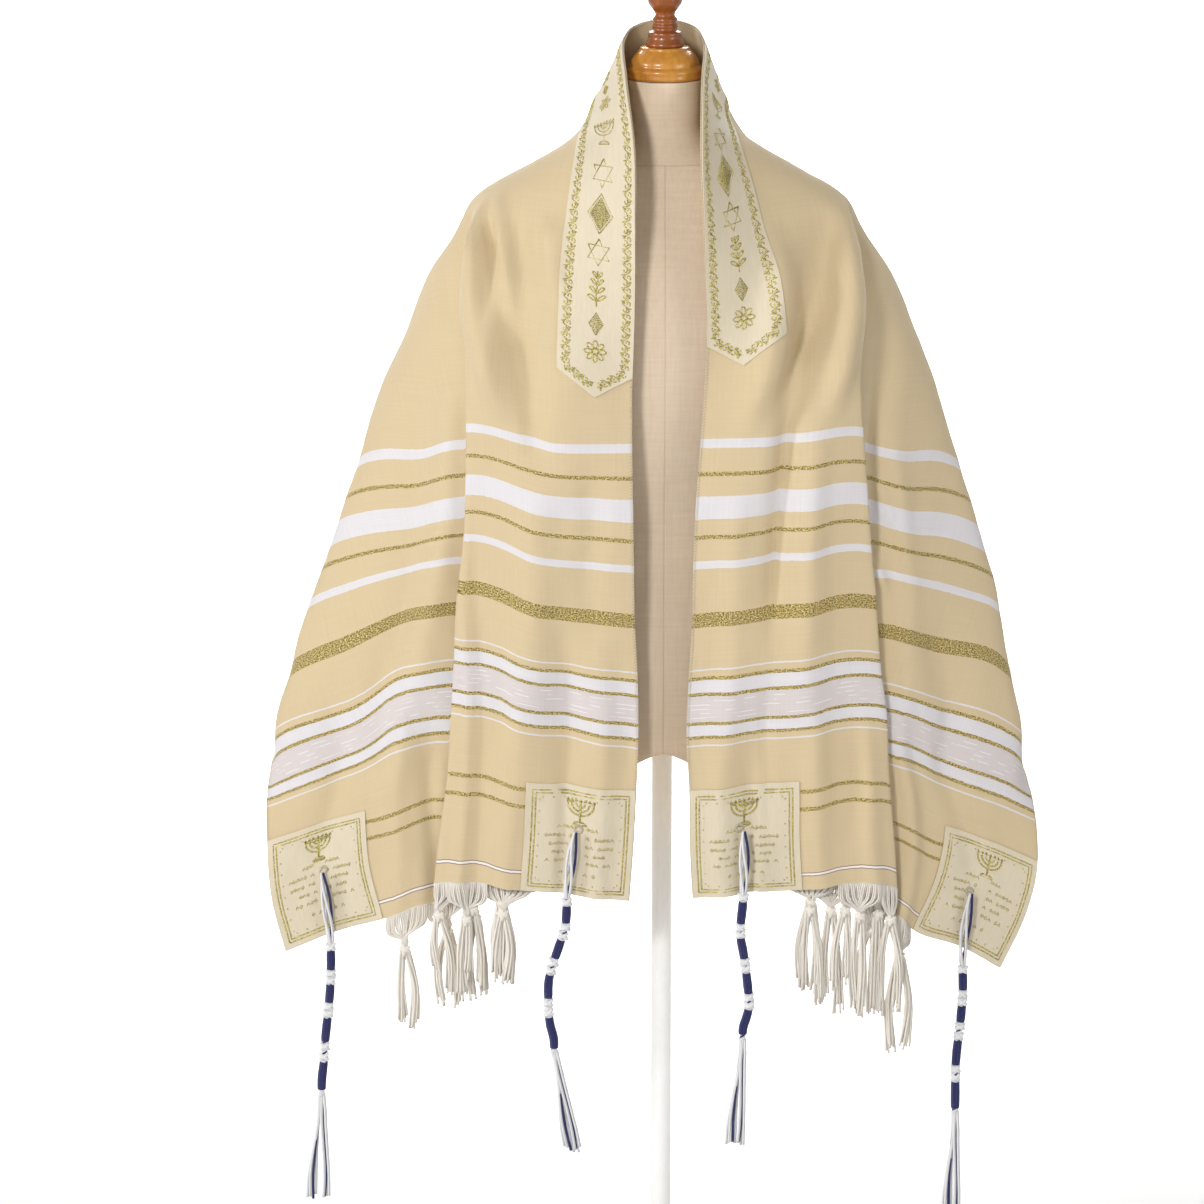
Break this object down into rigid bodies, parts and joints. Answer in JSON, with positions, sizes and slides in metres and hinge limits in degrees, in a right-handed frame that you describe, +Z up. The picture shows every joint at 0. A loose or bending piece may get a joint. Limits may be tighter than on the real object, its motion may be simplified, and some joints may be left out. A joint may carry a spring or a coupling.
{
  "type": "prayer shawl on a limbless dress form",
  "caption": "Fringed prayer shawl with collar band, corner patches and knotted tassels, draped over a limbless linen dress form on a round-based stand.",
  "frame": {"origin": "centre of the stand's round base, on the surface it stands on", "axes": "+Z up, -Y towards the wearer's front, +X towards the right of the front view; metres"},
  "size_m": [0.8034, 0.34, 1.5446],
  "materials": {
    "shawl_cloth": "fine cream wool weave with white and gold stripes",
    "collar_satin": "ivory satin with woven gold ornament",
    "patch_satin": "ivory satin with a gold line border",
    "fringe_yarn": "off-white twisted yarn, knotted",
    "tassel_cord": "white cord wound with navy thread",
    "tassel_strands": "loose white and navy cord strands",
    "form_linen": "beige linen, matte",
    "cap_wood": "light varnished wood",
    "knob_wood": "darker varnished turned wood",
    "pole_paint": "white painted steel tube",
    "base_wood": "light varnished wood"
  },
  "bodies": {
    "root": {"left_front_panel": "shawl_cloth", "right_front_panel": "shawl_cloth", "left_side_panel": "shawl_cloth", "right_side_panel": "shawl_cloth", "shoulders_and_back": "shawl_cloth", "collar_band": "collar_satin", "left_front_corner_patch": "patch_satin", "right_front_corner_patch": "patch_satin", "left_outer_corner_patch": "patch_satin", "right_outer_corner_patch": "patch_satin", "left_hem_fringe": "fringe_yarn", "right_hem_fringe": "fringe_yarn", "left_front_tassel_cord": "tassel_cord", "right_front_tassel_cord": "tassel_cord", "left_outer_tassel_cord": "tassel_cord", "right_outer_tassel_cord": "tassel_cord", "left_front_tassel_strands": "tassel_strands", "right_front_tassel_strands": "tassel_strands", "left_outer_tassel_strands": "tassel_strands", "right_outer_tassel_strands": "tassel_strands", "dress_form_torso": "form_linen", "dress_form_neck_cap": "cap_wood", "dress_form_knob": "knob_wood", "dress_form_pole": "pole_paint", "dress_form_base": "base_wood"}
  },
  "joints": []
}
